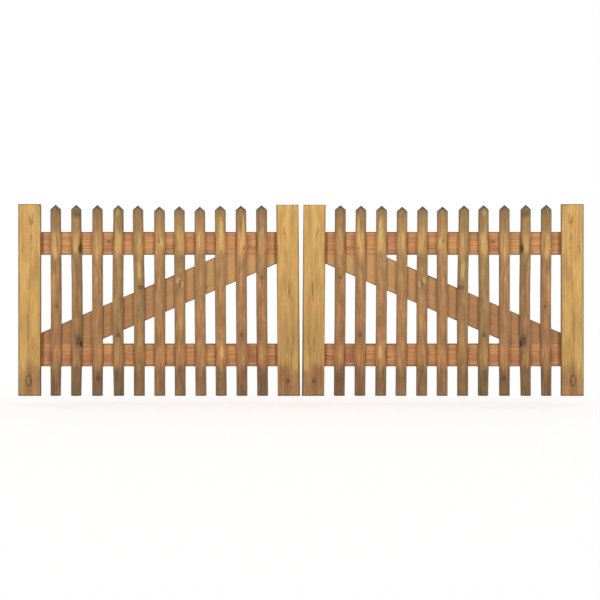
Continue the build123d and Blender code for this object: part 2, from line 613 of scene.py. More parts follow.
# %% [markdown]
# ## Where the screws go
# Two screws hold each picket to each rail and to the brace, and four hold each stile to each rail. They
# keep clear of the straps. The coach screws sit on the holes of the straps, which are evenly spaced from
# the pin. All copies of one kind on a leaf are joined into one piece.

# %% Screw places
row_gap = 0.035
brace_gap = 0.042
strap_hole_margin = 0.045
strap_hole_count = 5
strap_reach = 0.480
stile_columns = [outer_edge + 0.072, outer_edge + 0.103, meeting_low.x + 0.024, meeting_low.x + 0.086]
screw_places = []
for level in rail_middles:
    for x in picket_centres + stile_columns:
        screw_places += [(x, level - row_gap), (x, level + row_gap)]
for x in picket_centres:
    level = toe.z + (x - toe.x) * math.tan(rake) + brace_width / 2 / math.cos(rake)
    if bottom_high.z < level - 2 * brace_gap and level + 1.5 * brace_gap < top_low.z:
        screw_places += [(x, level - brace_gap), (x, level + brace_gap)]
screw_places += [(outer_edge + 0.09, bottom_high.z + 0.02), (meeting_low.x + 0.05, top_low.z - 0.05)]
pin_x = frame["joints"][0]["pos_m"][0]
pitch = (strap_reach - 2 * strap_hole_margin) / (strap_hole_count - 1)
coach_places = [(pin_x + strap_hole_margin + i * pitch, level)
                for level in rail_middles for i in range(strap_hole_count)]


def set_out(model, places, name):
    """Copies a fixing to every place given as x and z, and joins the copies."""
    copies = []
    for x, z in places:
        copy = own_copy(model, name)
        copy.location = (x, 0, z)
        copies.append(copy)
    bpy.data.objects.remove(model)
    take(copies[0])
    for copy in copies:
        copy.select_set(True)
    bpy.ops.object.join()
    joined = bpy.context.object
    settle()
    bpy.ops.object.shade_smooth_by_angle(angle=crease)
    joined.name = name
    return joined


fixings = {"rail_screws": set_out(screw, screw_places, "left_rail_screws"),
           "strap_screws": set_out(coach_screw, coach_places, "left_strap_screws")}
print(len(screw_places), "screws and", len(coach_places), "coach screws a leaf")

# %% [markdown]
# ## Notes for the finishes
# A finish needs to know a few things that a place alone doesn't say: which faces are sawn across the
# grain, how far a point lies from the nearest long arris, how far round a picket's crown it lies, and
# how dark and how red this stick of wood is. They are kept as attributes on each mesh.

# %% Attributes
picket_tones = [0.98, 0.94, 1.02, 0.94, 0.98, 1.03, 1.03, 1.08, 1.10, 1.03, 0.94]
picket_hues = [0.3, -0.3, 0.3, -0.8, -0.6, 0.3, -0.1, 0.2, 0.3, 0.8, 0.6]
# How much darker each picket is towards its foot.
picket_foot_darks = [0.9, 0.85, 0.85, 1.0, 0.6, 0.35, 0.6, 0.65, 0.9, 0.9, 1.0]
sticks = [float(n + 1) for n in range(picket_count)]
picket_notes = {"tone": picket_tones, "hue": picket_hues, "foot_dark": picket_foot_darks, "stick": sticks}


def note(piece, name, domain, values):
    """Keeps one number a point or a face on a mesh."""
    layer = piece.data.attributes.new(name, "FLOAT", domain)
    layer.data.foreach_set("value", values)


def brace_rise(point):
    """Height of a point above the lower edge of the brace, square to its rake."""
    return (point.z - toe.z) * math.cos(rake) - (point.x - toe.x) * math.sin(rake)


def covered(point):
    """Says how far to push a point away from its arris, so it gets no painted shade: by a board's width where
    the brace meets the rail.
    """
    meets = abs(point.z - bottom_high.z) < 0.02 and point.x < toe.x
    meets = meets or abs(point.z - top_low.z) < 0.02 and brace_rise(point) < brace_width
    return brace_width if meets else 0.0


for name, piece in timber.items():
    mesh = piece.data
    points = [v.co for v in mesh.vertices]
    low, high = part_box(f"left_{name}")
    grain = Vector((0, 0, 1))
    if name.endswith("stile"):
        gaps = [min(p.x - low.x, high.x - p.x, p.z - low.z, high.z - p.z) for p in points]
    elif name.endswith("rail"):
        grain = Vector((1, 0, 0))
        gaps = [min(high.z - p.z, p.z - low.z) + covered(p) for p in points]
    elif name == "brace":
        grain = Vector((math.cos(rake), 0, math.sin(rake)))
        gaps = [min(brace_rise(p), brace_width - brace_rise(p)) for p in points]
    else:
        number = int(name[-2:])
        gaps = [half_width * (1 - abs(turn)) for turn in crown_turns]
        note(piece, "round", "POINT", crown_turns)
        for label, values in picket_notes.items():
            note(piece, label, "POINT", [values[number - 1]] * len(points))
    note(piece, "arris_gap", "POINT", gaps)
    note(piece, "end_grain", "FACE", [float(abs(f.normal.dot(grain)) > 0.5) for f in mesh.polygons])
print("end grain, arris, round, tone, hue, damp and stick noted")

# %% [markdown]
# ## The right leaf
# Each left piece is copied with its own mesh and mirrored about the middle of the gate in edit mode.
# Mirroring turns a mesh inside out, so its normals are recalculated.

# %% Mirror the leaf


def mirrored(piece, name):
    """A copy of a piece on the other leaf."""
    copy = own_copy(piece, name)
    take(copy)
    edit()
    everything()
    bpy.ops.transform.resize(value=(-1, 1, 1), center_override=(middle, 0, 0))
    bpy.ops.mesh.normals_make_consistent(inside=False)
    done()
    return copy


right_timber = {name: mirrored(piece, f"right_{name}_timber") for name, piece in timber.items()}
right_fixings = {name: mirrored(piece, f"right_{name}") for name, piece in fixings.items()}
print(len(right_timber) + len(right_fixings), "pieces mirrored")

# %% [markdown]
# ## A small kit for nodes
# A finish is a chain of nodes. These helpers add a node with its inputs, a sum, a soft step and a mix of
# two colours, so that the chains below read like recipes.

# %% Node helpers


def put(tree, kind, inputs=None, **settings):
    """Adds a node, sets it up, and links or fills its inputs by name or number."""
    node = tree.nodes.new("ShaderNode" + kind)
    for key, value in settings.items():
        setattr(node, key, value)
    for key, value in (inputs or {}).items():
        if isinstance(value, bpy.types.NodeSocket):
            tree.links.new(value, node.inputs[key])
        else:
            node.inputs[key].default_value = value
    return node


def calc(tree, operation, *values):
    """One step of arithmetic."""
    return put(tree, "Math", dict(enumerate(values)), operation=operation).outputs[0]


def times(tree, first, second):
    """A product."""
    return calc(tree, "MULTIPLY", first, second)


def plus(tree, first, second):
    """A sum of two."""
    return calc(tree, "ADD", first, second)


def minus(tree, first, second):
    """A difference."""
    return calc(tree, "SUBTRACT", first, second)


def soft_step(tree, value, start, end, low=0.0, high=1.0):
    """Goes smoothly from low at start to high at end."""
    inputs = {"Value": value, "From Min": start, "From Max": end, "To Min": low, "To Max": high}
    return put(tree, "MapRange", inputs, interpolation_type="SMOOTHSTEP").outputs["Result"]


def about_zero(tree, value, amount):
    """A value around a half, made to sway about zero by an amount."""
    return times(tree, minus(tree, value, 0.5), amount)


def mix(tree, factor, first, second, blend="MIX"):
    """Mixes two colours."""
    colours = [c if isinstance(c, bpy.types.NodeSocket) else (*c, 1) for c in (first, second)]
    inputs = {0: factor, 6: colours[0], 7: colours[1]}
    return put(tree, "Mix", inputs, data_type="RGBA", blend_type=blend).outputs[2]


def shaded(tree, colour, value):
    """A colour made lighter or darker by a value around one."""
    grey = put(tree, "CombineColor", {0: value, 1: value, 2: value}).outputs[0]
    return mix(tree, 1.0, colour, grey, "MULTIPLY")


def cloud(tree, x, y, z, detail=2.0, roughness=0.5):
    """Noise at a place given by three sums."""
    place = put(tree, "CombineXYZ", {0: x, 1: y, 2: z}).outputs[0]
    inputs = {"Vector": place, "Scale": 1.0, "Detail": detail, "Roughness": roughness}
    return put(tree, "TexNoise", inputs).outputs["Fac"]


def attribute(tree, name):
    """A number kept on the mesh."""
    return put(tree, "Attribute", attribute_name=name).outputs["Fac"]


def new_group(name, inputs, outputs):
    """An empty node group with named number inputs and outputs."""
    tree = bpy.data.node_groups.new(name, "ShaderNodeTree")
    for label, value in inputs.items():
        socket = tree.interface.new_socket(label, in_out="INPUT", socket_type="NodeSocketFloat")
        socket.default_value = value
    for label in outputs:
        tree.interface.new_socket(label, in_out="OUTPUT", socket_type="NodeSocketFloat")
    return tree, tree.nodes.new("NodeGroupInput").outputs, tree.nodes.new("NodeGroupOutput").inputs


def use(tree, group, **inputs):
    """Places a group in a finish with its own values. Names take _ for a space."""
    named = {key.replace("_", " "): value for key, value in inputs.items()}
    return put(tree, "Group", named, node_tree=group).outputs


# %% [markdown]
# ## Leaf places
# Every finish needs to know where on a leaf a point lies: how far from the outer edge, how far through
# the thickness and how high above the foot. Folding the length about the middle of the gate gives both
# leaves the same marks, mirrored.

# %% Group: leaf place
leaf_place, _, ends = new_group("leaf_place", {}, ["From Edge", "Through", "Height"])
object_place = put(leaf_place, "TexCoord").outputs["Object"]
xyz = put(leaf_place, "SeparateXYZ", {0: object_place}).outputs
from_middle = calc(leaf_place, "ABSOLUTE", minus(leaf_place, xyz[0], middle))
leaf_place.links.new(minus(leaf_place, middle - outer_edge, from_middle), ends["From Edge"])
leaf_place.links.new(minus(leaf_place, xyz[1], rail_front), ends["Through"])
leaf_place.links.new(minus(leaf_place, xyz[2], foot), ends["Height"])
print("group", leaf_place.name)

# %% [markdown]
# ## Growth rings
# A board is a slice of a log. The distance from the pith, divided by the width of a year, counts the
# rings, and the part after the point gives the dark late wood at the end of each year. Rings sway slowly
# along the log, and the pith drifts through the board, which draws the arches on its face. Fine streaks
# along the grain are the fibres.

# %% Group: growth rings
ring_inputs = {"Across": 0.0, "Through": 0.0, "Along": 0.0, "Pith Across": 0.0, "Pith Through": 0.05,
               "Drift": 0.0, "Ring Width": 0.004, "Sway": 0.012, "Bend": 0.0, "Seed": 0.0}
rings, i, o = new_group("growth_rings", ring_inputs, ["Late Wood", "Fibre"])
slow = calc(rings, "MULTIPLY_ADD", i["Along"], 1.7, i["Seed"])
sway_a = about_zero(rings, cloud(rings, times(rings, i["Across"], 5.0), i["Seed"], slow), i["Sway"])
sway_t = about_zero(rings, cloud(rings, slow, times(rings, i["Across"], 4.0), 3.7), i["Sway"])
off_a = minus(rings, plus(rings, i["Across"], sway_a), i["Pith Across"])
off_t = minus(rings, plus(rings, i["Through"], sway_t), i["Pith Through"])
off_t = calc(rings, "MULTIPLY_ADD", i["Along"], i["Drift"], off_t)
radius = calc(rings, "SQRT", calc(rings, "MULTIPLY_ADD", off_a, off_a, times(rings, off_t, off_t)))
years = calc(rings, "DIVIDE", plus(rings, radius, i["Bend"]), i["Ring Width"])
year = calc(rings, "FLOOR", years)
season = calc(rings, "FRACT", years)
late = times(rings, soft_step(rings, season, 0.30, 0.90), soft_step(rings, season, 1.0, 0.92))
vigour = cloud(rings, times(rings, year, 0.73), i["Seed"], 0.5, detail=0.0)
late = times(rings, late, soft_step(rings, vigour, 0.3, 0.65, 0.25, 1.0))
rings.links.new(late, o["Late Wood"])
fine_a = times(rings, i["Across"], 620.0)
fine_t = times(rings, i["Through"], 620.0)
fine_l = calc(rings, "MULTIPLY_ADD", i["Along"], 14.0, i["Seed"])
rings.links.new(cloud(rings, fine_a, fine_t, fine_l, detail=3.0, roughness=0.6), o["Fibre"])
print("group", rings.name)

# %% [markdown]
# ## Knots
# A knot is where a branch left the trunk: a dark, slightly oval eye of fine rings, with a darker rim, and
# denser, browner wood that runs out above and below it along the grain. The group measures how far a
# point is from one knot, with a cloud to make it ragged.

# %% Group: knot
knot_inputs = {"Across": 0.0, "Along": 0.0, "At Across": 0.0, "At Along": 0.0, "Radius": 0.01, "Length": 1.4}
knot, i, o = new_group("knot", knot_inputs, ["Eye", "Rim", "Halo"])
dx = calc(knot, "DIVIDE", minus(knot, i["Across"], i["At Across"]), i["Radius"])
dz = calc(knot, "DIVIDE", minus(knot, i["Along"], i["At Along"]), i["Radius"])
dz = calc(knot, "DIVIDE", dz, i["Length"])
across_squared = times(knot, dx, dx)
ragged = cloud(knot, times(knot, i["Across"], 150.0), times(knot, i["Along"], 90.0), 0.0)
ragged = about_zero(knot, ragged, 0.9)
reach = plus(knot, calc(knot, "SQRT", calc(knot, "MULTIPLY_ADD", dz, dz, across_squared)), ragged)
long_dz = times(knot, dz, 0.42)
long_reach = calc(knot, "SQRT", calc(knot, "MULTIPLY_ADD", long_dz, long_dz, across_squared))
long_reach = plus(knot, long_reach, ragged)
whorl = soft_step(knot, calc(knot, "SINE", times(knot, reach, 13.0)), -1.0, 1.0, 0.55, 1.0)
knot.links.new(times(knot, soft_step(knot, reach, 1.05, 0.65), whorl), o["Eye"])
rim = times(knot, soft_step(knot, reach, 0.55, 0.95), soft_step(knot, reach, 1.35, 1.0))
knot.links.new(rim, o["Rim"])
knot.links.new(soft_step(knot, long_reach, 2.6, 0.6), o["Halo"])
print("group", knot.name)

# %% [markdown]
# ## Patches
# Resin, treatment and sap leave patches with ragged ends, drawn out along the grain. One group measures
# an oval patch at a place and frays it with streaks. A finish lists where its patches are.

# %% Group: patch
patch_inputs = {"Across": 0.0, "Along": 0.0, "At Across": 0.0, "At Along": 0.0, "Half Width": 0.01,
                "Half Length": 0.03}
patch, i, o = new_group("patch", patch_inputs, ["Mask"])
dx = calc(patch, "DIVIDE", minus(patch, i["Across"], i["At Across"]), i["Half Width"])
dz = calc(patch, "DIVIDE", minus(patch, i["Along"], i["At Along"]), i["Half Length"])
frayed = cloud(patch, times(patch, i["Across"], 210.0), times(patch, i["Along"], 28.0), 0.7)
reach = calc(patch, "SQRT", calc(patch, "MULTIPLY_ADD", dx, dx, times(patch, dz, dz)))
reach = plus(patch, reach, about_zero(patch, frayed, 1.3))
patch.links.new(soft_step(patch, reach, 1.05, 0.35), o["Mask"])
print("group", patch.name)

# %% [markdown]
# ## Weather
# Treated softwood colours unevenly. Blotches a few centimetres across come from the treatment, a slower
# cloud turns the wood warmer here and there, wide and narrow streaks follow the grain, a mottle turns it
# between olive and orange, and the lowest hand's breadth is darker. Small dark flecks along the grain are
# resin and checks.

# %% Group: weather
weather_inputs = {"Across": 0.0, "Along": 0.0, "Height": 0.5, "Seed": 0.0}
weather_outputs = ["Blotch", "Warmth", "Wide", "Streak", "Mottle", "Foot", "Fleck"]
weather, i, o = new_group("weather", weather_inputs, weather_outputs)


def grain_cloud(across_scale, along_scale, offset, detail, roughness):
    """Noise that is finer across the grain than along it."""
    return cloud(weather, times(weather, i["Across"], across_scale),
                 plus(weather, i["Seed"], offset),
                 times(weather, i["Along"], along_scale), detail, roughness)


blotch = grain_cloud(26.0, 7.0, 0.0, 3.0, 0.55)
wide = grain_cloud(48.0, 2.4, 3.3, 2.0, 0.5)
streak = grain_cloud(125.0, 3.6, 5.9, 3.0, 0.6)
weather.links.new(soft_step(weather, blotch, 0.28, 0.72), o["Blotch"])
weather.links.new(soft_step(weather, grain_cloud(15.0, 5.0, 21.0, 2.0, 0.5), 0.42, 0.68), o["Warmth"])
weather.links.new(soft_step(weather, wide, 0.3, 0.7), o["Wide"])
weather.links.new(soft_step(weather, streak, 0.32, 0.68), o["Streak"])
weather.links.new(soft_step(weather, grain_cloud(75.0, 14.0, 13.7, 3.0, 0.6), 0.34, 0.66), o["Mottle"])
uneven = plus(weather, i["Height"], about_zero(weather, blotch, 0.10))
uneven = plus(weather, uneven, about_zero(weather, streak, 0.08))
weather.links.new(soft_step(weather, uneven, 0.185, 0.115), o["Foot"])
weather.links.new(soft_step(weather, grain_cloud(240.0, 34.0, 9.1, 1.0, 0.5), 0.68, 0.78), o["Fleck"])
print("group", weather.name)

# %% [markdown]
# ## Timber finishes
# The four timbers share one recipe with their own colours: base wood by blotch and warmth, streaks, late
# wood, fibres, flecks, knots, sawn ends and painted shade along the arrises. The bump follows rings and
# fibres, and the roughness is higher where the wood is open.

# %% Timber recipe


def strongest(tree, values):
    """The largest of several masks."""
    total = values[0]
    for value in values[1:]:
        total = calc(tree, "MAXIMUM", total, value)
    return total


def knots_on(tree, across, along, places):
    """Eye, rim and halo of several knots: across, along and radius in metres, and how drawn out each is."""
    eyes, rims, halos = [], [], []
    for at_across, at_along, radius, length in places:
        made = use(tree, knot, Across=across, Along=along, At_Across=at_across, At_Along=at_along,
                   Radius=radius, Length=length)
        eyes.append(made["Eye"])
        rims.append(made["Rim"])
        halos.append(made["Halo"])
    return {"eye": strongest(tree, eyes), "rim": strongest(tree, rims), "halo": strongest(tree, halos)}


def patches_on(tree, across, along, places):
    """Mask of several patches, each given as across, along, half width and half length in metres."""
    masks = []
    for at_across, at_along, half_across, half_along in places:
        made = use(tree, patch, Across=across, Along=along, At_Across=at_across, At_Along=at_along,
                   Half_Width=half_across, Half_Length=half_along)
        masks.append(made["Mask"])
    return strongest(tree, masks)


def dab(tree, mask, amount, colour, paint):
    """Lays a paint over a colour where a mask says so, by an amount."""
    return mix(tree, times(tree, mask, amount), colour, paint)


def tinted(tree, mask, colour, tint):
    """Multiplies a colour by a tint where a mask says so, which keeps the grain."""
    return mix(tree, 1.0, colour, mix(tree, mask, (1, 1, 1), tint), "MULTIPLY")


def wood_colour(tree, palette, weathered, grown, knotted):
    """Colour of sound wood with its rings, streaks, flecks and knots."""
    colour = mix(tree, weathered["Blotch"], palette["dull"], palette["bright"])
    colour = dab(tree, weathered["Warmth"], palette["warmth"], colour, palette["warm"])
    colour = dab(tree, weathered["Wide"], palette["streaks"], colour, palette["streak"])
    colour = dab(tree, grown["Late Wood"], palette["rings"], colour, palette["late"])
    depth = palette["contrast"]
    colour = shaded(tree, colour, soft_step(tree, weathered["Streak"], 0.0, 1.0, 1.0 - depth, 1.0 + depth))
    colour = shaded(tree, colour, soft_step(tree, grown["Fibre"], 0.3, 0.7, 0.87, 1.11))
    tint = mix(tree, weathered["Mottle"], palette["olive"], palette["orange"])
    colour = mix(tree, 1.0, colour, tint, "MULTIPLY")
    colour = dab(tree, weathered["Fleck"], 0.55, colour, palette["late"])
    colour = dab(tree, knotted["halo"], 0.45, colour, palette["late"])
    colour = dab(tree, knotted["eye"], 0.80, colour, palette["knot"])
    return dab(tree, knotted["rim"], 0.65, colour, palette["rim"])


def finish_wood(material, palette, colour, weathered, grown, knotted, sawn=0.92):
    """Painted shade along the arrises, sawn ends, roughness and bump, and the shader itself."""
    tree = material.node_tree
    # Painted shade: within a few millimetres of an arris, and on pickets towards their flanks, the colour
    # turns to the dark rim colour by the palette's arris amount.
    gap = plus(tree, attribute(tree, "arris_gap"), about_zero(tree, weathered["Streak"], 0.003))
    colour = dab(tree, soft_step(tree, gap, 0.0080, 0.0020), palette["arris"], colour, palette["rim"])
    sawn_mark = soft_step(tree, grown["Late Wood"], 0.0, 1.0, 0.15, 0.85)
    sawn_colour = mix(tree, sawn_mark, palette["sawn"], palette["sawn_late"])
    colour = dab(tree, attribute(tree, "end_grain"), sawn, colour, sawn_colour)
    rough = soft_step(tree, grown["Fibre"], 0.2, 0.8, 0.52, 0.78)
    relief = calc(tree, "MULTIPLY_ADD", grown["Late Wood"], 0.5, times(tree, grown["Fibre"], 0.6))
    relief = minus(tree, relief, times(tree, knotted["rim"], 1.2))
    relief = minus(tree, relief, times(tree, weathered["Fleck"], 0.8))
    bump = put(tree, "Bump", {"Strength": 0.55, "Distance": 0.0008, "Height": relief}).outputs["Normal"]
    shader = tree.nodes["Principled BSDF"]
    shader.inputs["Specular IOR Level"].default_value = 0.25
    tree.links.new(colour, shader.inputs["Base Color"])
    tree.links.new(rough, shader.inputs["Roughness"])
    tree.links.new(bump, shader.inputs["Normal"])


def new_material(name):
    """An empty finish with nodes."""
    material = bpy.data.materials.new(name)
    material.use_nodes = True
    return material, material.node_tree


# %% [markdown]
# ## Stile timber
# The stiles are the palest boards: golden treated pine with wide arches, a knot near each end and a
# browner foot. Thin brown checks run along the grain. The meeting stile is browner from the middle down.

# %% Finish: stiles
palette = {
    "dull": (0.48, 0.277, 0.082), "bright": (0.66, 0.425, 0.132), "warm": (0.59, 0.305, 0.092),
    "warmth": 0.50,
    "streak": (0.44, 0.255, 0.078), "streaks": 0.42, "contrast": 0.11, "late": (0.35, 0.19, 0.060),
    "rings": 0.26, "knot": (0.41, 0.26, 0.115), "rim": (0.11, 0.068, 0.032), "arris": 0.66,
    "olive": (0.94, 0.995, 0.90), "orange": (1.06, 0.96, 1.0),
    "sawn": (0.24, 0.155, 0.080), "sawn_late": (0.10, 0.065, 0.036),
}
stile_wood, tree = new_material("stile_pine")
place = use(tree, leaf_place)
across, along = place["From Edge"], place["Height"]
grown = use(tree, rings, Across=across, Through=place["Through"], Along=along, Pith_Across=0.075,
            Pith_Through=0.055, Drift=0.045, Ring_Width=0.0050, Sway=0.05, Seed=2.4)
weathered = use(tree, weather, Across=across, Along=along, Height=along, Seed=1.3)
knotted = knots_on(tree, across, along, [
    (0.067, 0.905, 0.0065, 1.5), (0.0555, 0.079, 0.014, 2.0), (1.406, 0.075, 0.008, 0.9),
    (0.068, 0.826, 0.004, 2.5), (1.413, 0.545, 0.004, 3.0)])
colour = wood_colour(tree, palette, weathered, grown, knotted)
browner = patches_on(tree, across, along, [
    (1.372, 0.39, 0.018, 0.26), (1.392, 0.58, 0.012, 0.07), (1.40, 0.28, 0.065, 0.33)])
colour = dab(tree, browner, 0.42, colour, (0.33, 0.18, 0.068))
checks = patches_on(tree, across, along, [
    (0.0485, 0.36, 0.004, 0.085), (0.0228, 0.765, 0.004, 0.032), (0.0717, 0.770, 0.005, 0.010),
    (0.032, 0.779, 0.005, 0.008), (0.059, 0.926, 0.005, 0.020), (0.078, 0.935, 0.004, 0.03),
    (0.0745, 0.906, 0.006, 0.013), (1.384, 0.857, 0.005, 0.032), (1.4245, 0.235, 0.005, 0.034),
    (1.406, 0.270, 0.006, 0.065), (1.413, 0.55, 0.005, 0.055), (1.437, 0.28, 0.003, 0.08),
    (1.392, 0.84, 0.004, 0.030), (1.424, 0.50, 0.003, 0.09)])
colour = dab(tree, checks, 0.70, colour, (0.23, 0.130, 0.050))
resin = patches_on(tree, across, along, [(1.406, 0.078, 0.011, 0.012), (0.066, 0.078, 0.005, 0.018)])
colour = dab(tree, resin, 0.75, colour, (0.13, 0.075, 0.035))
# Darker towards the foot, more on the meeting stile.
foot_dark = times(tree, weathered["Foot"], soft_step(tree, across, 0.5, 1.0, 0.70, 1.0))
colour = tinted(tree, foot_dark, colour, (0.68, 0.585, 0.735))
finish_wood(stile_wood, palette, colour, weathered, grown, knotted)
print("finish", stile_wood.name)

# %% [markdown]
# ## Rail timber
# The rails are redder: heartwood that faces the road only through the gaps. Their grain runs along the
# gate, with golden streaks and a few red patches.

# %% Finish: rails
palette = {
    "dull": (0.43, 0.185, 0.080), "bright": (0.57, 0.285, 0.100), "warm": (0.47, 0.165, 0.082),
    "warmth": 0.75,
    "streak": (0.61, 0.33, 0.108), "streaks": 0.45, "contrast": 0.15, "late": (0.33, 0.135, 0.060),
    "rings": 0.45, "knot": (0.20, 0.085, 0.045), "rim": (0.10, 0.050, 0.03), "arris": 0.80,
    "olive": (0.94, 1.0, 0.94), "orange": (1.05, 0.97, 1.02),
    "sawn": (0.24, 0.14, 0.075), "sawn_late": (0.10, 0.06, 0.034),
}
rail_wood, tree = new_material("rail_pine")
place = use(tree, leaf_place)
across, along = place["Height"], place["From Edge"]
grown = use(tree, rings, Across=across, Through=place["Through"], Along=along, Pith_Across=0.20,
            Pith_Through=0.10, Drift=0.03, Ring_Width=0.005, Sway=0.03, Seed=7.9)
weathered = use(tree, weather, Across=across, Along=times(tree, along, 1.4), Height=0.5, Seed=4.6)
knotted = knots_on(tree, across, along, [(0.805, 0.47, 0.006, 1.4), (0.232, 0.84, 0.007, 1.4)])
colour = wood_colour(tree, palette, weathered, grown, knotted)
heart = patches_on(tree, across, along, [
    (0.182, 0.36, 0.016, 0.30), (0.80, 1.20, 0.05, 0.025),
    (0.756, 0.97, 0.014, 0.08), (0.77, 0.46, 0.03, 0.03), (0.19, 0.16, 0.02, 0.02)])
colour = dab(tree, heart, 0.60, colour, (0.40, 0.120, 0.075))
dark_heart = patches_on(tree, across, along, [(0.214, 1.212, 0.050, 0.036)])
colour = dab(tree, dark_heart, 0.65, colour, (0.27, 0.080, 0.050))
finish_wood(rail_wood, palette, colour, weathered, grown, knotted)
print("finish", rail_wood.name)

# %% [markdown]
# ## Brace timber
# The brace is browner than the rails, more golden towards its upper end, and its grain follows its rake.
# Turning the leaf's places by the rake gives the along and across of the sloping board.

# %% Finish: brace
palette = {
    "dull": (0.37, 0.180, 0.072), "bright": (0.460, 0.238, 0.090), "warm": (0.47, 0.20, 0.080),
    "warmth": 0.5,
    "streak": (0.36, 0.17, 0.069), "streaks": 0.28, "contrast": 0.04, "late": (0.28, 0.13, 0.055),
    "rings": 0.24, "knot": (0.18, 0.085, 0.042), "rim": (0.09, 0.048, 0.028), "arris": 0.66,
    "olive": (0.95, 1.0, 0.95), "orange": (1.04, 0.97, 1.0),
    "sawn": (0.24, 0.14, 0.075), "sawn_late": (0.10, 0.06, 0.034),
}
brace_wood, tree = new_material("brace_pine")
place = use(tree, leaf_place)
along = calc(tree, "MULTIPLY_ADD", place["From Edge"], math.cos(rake),
             times(tree, place["Height"], math.sin(rake)))
across = minus(tree, times(tree, place["Height"], math.cos(rake)),
               times(tree, place["From Edge"], math.sin(rake)))
grown = use(tree, rings, Across=across, Through=place["Through"], Along=along, Pith_Across=0.10,
            Pith_Through=0.09, Drift=0.02, Ring_Width=0.0055, Sway=0.03, Seed=11.2)
weathered = use(tree, weather, Across=across, Along=along, Height=0.5, Seed=8.8)
knotted = knots_on(tree, across, along, [
    (0.08, 0.62, 0.008, 1.4), (0.13, 1.12, 0.007, 1.4), (0.05, 1.3, 0.007, 1.4)])
colour = wood_colour(tree, palette, weathered, grown, knotted)
golden = soft_step(tree, place["From Edge"], 0.5, 1.2, 0.0, 0.5)
colour = mix(tree, golden, colour, (0.62, 0.345, 0.122))
finish_wood(brace_wood, palette, colour, weathered, grown, knotted)
print("finish", brace_wood.name)

# %% [markdown]
# ## Picket timber
# The pickets are the darkest and the most varied. Each is its own stick, so the seed of its grain is its
# number, and its pith lies in its flat back. Light and shade are painted on them: painted light makes the
# outer flank paler olive, painted shade makes the inner flank darker grey, and a painted pool of light
# makes them paler where a rail backs them, where the flanks carry the rail's red as a painted reflection,
# dark on the outer flank and orange on the inner. They are dark below the bottom rail. Yellow sapwood and
# dark stains are patches of their own. The sawn points have turned nearly black at the tip, less towards
# the shoulders.

# %% Finish: pickets
palette = {
    "dull": (0.33, 0.175, 0.068), "bright": (0.48, 0.255, 0.092), "warm": (0.42, 0.185, 0.074),
    "warmth": 0.45,
    "streak": (0.28, 0.155, 0.062), "streaks": 0.45, "contrast": 0.18, "late": (0.23, 0.125, 0.050),
    "rings": 0.42, "knot": (0.15, 0.085, 0.038), "rim": (0.070, 0.047, 0.026), "arris": 0.22,
    "olive": (0.93, 1.0, 0.93), "orange": (1.06, 0.97, 0.98),
    "sawn": (0.10, 0.078, 0.050), "sawn_late": (0.050, 0.038, 0.026),
}
sapwood = (0.66, 0.42, 0.140)
stain = (0.085, 0.062, 0.038)
picket_wood, tree = new_material("picket_pine")
place = use(tree, leaf_place)
across, along = place["From Edge"], place["Height"]
stick = attribute(tree, "stick")
turn = attribute(tree, "round")
flat_turn = calc(tree, "ABSOLUTE", turn)
seed = times(tree, stick, 5.37)
grown = use(tree, rings, Across=times(tree, turn, half_width), Through=place["Through"], Along=along,
            Pith_Across=0.0, Pith_Through=0.002, Drift=0.0, Ring_Width=0.0038, Sway=0.03, Seed=seed)
weathered = use(tree, weather, Across=across, Along=times(tree, along, 2.2), Height=along, Seed=seed)
knotted = knots_on(tree, across, along, [
    (0.318, 0.285, 0.013, 1.4), (0.735, 0.811, 0.006, 1.4), (0.843, 0.590, 0.009, 1.3),
    (1.166, 0.319, 0.008, 1.3), (0.418, 0.094, 0.008, 1.4), (0.520, 0.318, 0.008, 1.2),
    (1.270, 0.617, 0.006, 1.3), (0.202, 0.466, 0.006, 1.4)])
colour = wood_colour(tree, palette, weathered, grown, knotted)
# Painted light: each picket is painted paler and more golden where a rail backs it, more at the top rail than
# at the bottom.
lighter, backed = [], []
rail_light_strengths = {rail_middles[1] - foot: 0.85, rail_middles[0] - foot: 0.38}
for level, strength in rail_light_strengths.items():
    gap = calc(tree, "ABSOLUTE", minus(tree, along, level))
    gap = calc(tree, "MULTIPLY_ADD", times(tree, flat_turn, flat_turn), 0.03, gap)
    gap = plus(tree, gap, about_zero(tree, weathered["Wide"], 0.035))
    gap = plus(tree, gap, about_zero(tree, weathered["Streak"], 0.040))
    share = soft_step(tree, cloud(tree, times(tree, stick, 3.1), level, 0.4), 0.3, 0.7, 0.6, 1.0)
    backed.append(soft_step(tree, gap, 0.086, 0.044))
    lighter.append(times(tree, soft_step(tree, gap, 0.086, 0.044, 0.0, strength), share))
lighter, backed = strongest(tree, lighter), strongest(tree, backed)
golden = shaded(tree, mix(tree, weathered["Mottle"], (0.55, 0.325, 0.112), (0.65, 0.335, 0.116)),
                soft_step(tree, weathered["Streak"], 0.0, 1.0, 0.70, 1.20))
colour = dab(tree, lighter, 0.80, colour, golden)
pale = patches_on(tree, across, along, [
    (0.945, 0.811, 0.007, 0.055), (1.174, 0.858, 0.010, 0.110), (0.833, 0.602, 0.011, 0.024),
    (0.855, 0.582, 0.008, 0.020), (0.750, 0.798, 0.013, 0.035), (0.195, 0.745, 0.011, 0.040),
    (0.520, 0.955, 0.015, 0.024), (0.630, 0.655, 0.013, 0.065), (1.058, 0.870, 0.017, 0.075),
    (1.062, 0.225, 0.015, 0.050), (0.300, 0.780, 0.009, 0.060), (0.530, 0.790, 0.007, 0.070)])
colour = dab(tree, pale, 0.65, colour, sapwood)
redness = plus(tree, attribute(tree, "hue"), soft_step(tree, along, 0.35, 0.98, 0.3, -1.0))
reddened = mix(tree, soft_step(tree, redness, -1.0, 1.0), (0.94, 1.03, 1.0), (1.06, 0.97, 1.0))
colour = mix(tree, 1.0, colour, reddened, "MULTIPLY")
